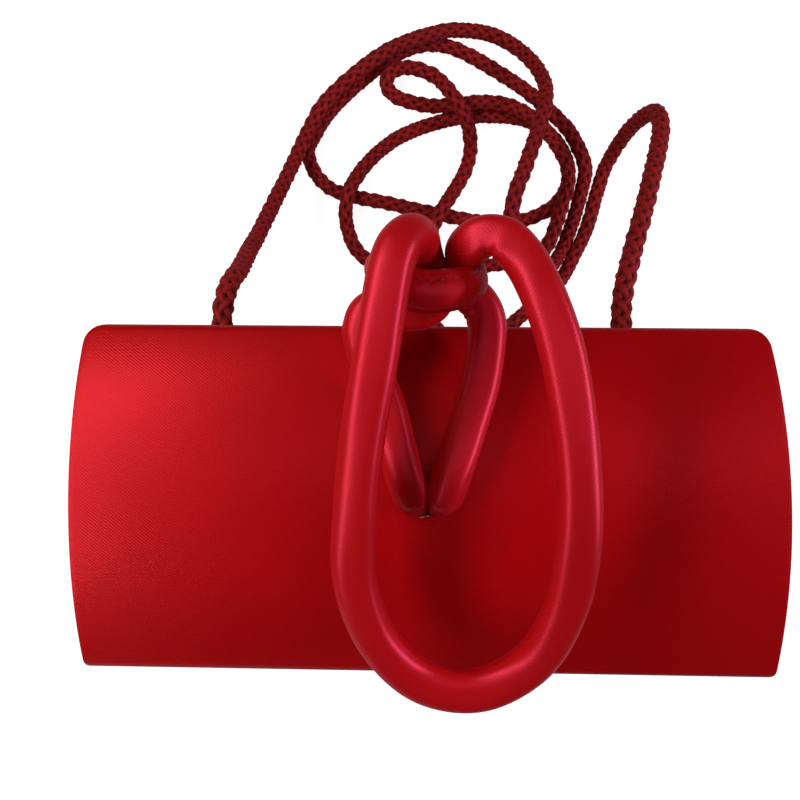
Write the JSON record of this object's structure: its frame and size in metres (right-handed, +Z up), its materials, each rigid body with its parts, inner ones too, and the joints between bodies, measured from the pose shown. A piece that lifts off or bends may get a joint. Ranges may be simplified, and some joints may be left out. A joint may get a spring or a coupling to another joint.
{
  "type": "crossbody bag",
  "caption": "Stiff red satin box bag with a domed flap, a padded tube handle tied in a half knot, and a braided cord strap through eyelets in the back.",
  "frame": {"origin": "on the underside of the base, below the middle of the flap", "axes": "+X along the bag's width, -Y towards its front, +Z up"},
  "size_m": [0.174, 0.2201, 0.1626],
  "materials": {
    "satin": "red satin over stiff board",
    "satin_tube": "red satin over soft padding",
    "braid": "dark red braided cord",
    "lining_cloth": "plain dark red lining",
    "eyelet_metal": "pale gold",
    "magnet_metal": "brushed"
  },
  "bodies": {
    "body": {"base_panel": "satin", "front_panel": "satin", "back_panel": "satin", "left_gusset": "satin", "right_gusset": "satin", "lining": "lining_cloth", "strap_cord": "braid", "left_eyelet": "eyelet_metal", "right_eyelet": "eyelet_metal", "left_stopper_knot": "braid", "right_stopper_knot": "braid", "front_magnet": "magnet_metal"},
    "flap": {"flap": "satin", "flap_lining": "lining_cloth", "flap_magnet": "magnet_metal", "knotted_handle": "satin_tube"}
  },
  "joints": [
    {"name": "flap_hinge", "type": "hinge", "parent": "body", "child": "flap", "pos_m": [0, 0.0433, 0.113], "axis": [-1, 0, 0], "range_deg": [0, 95]}
  ]
}
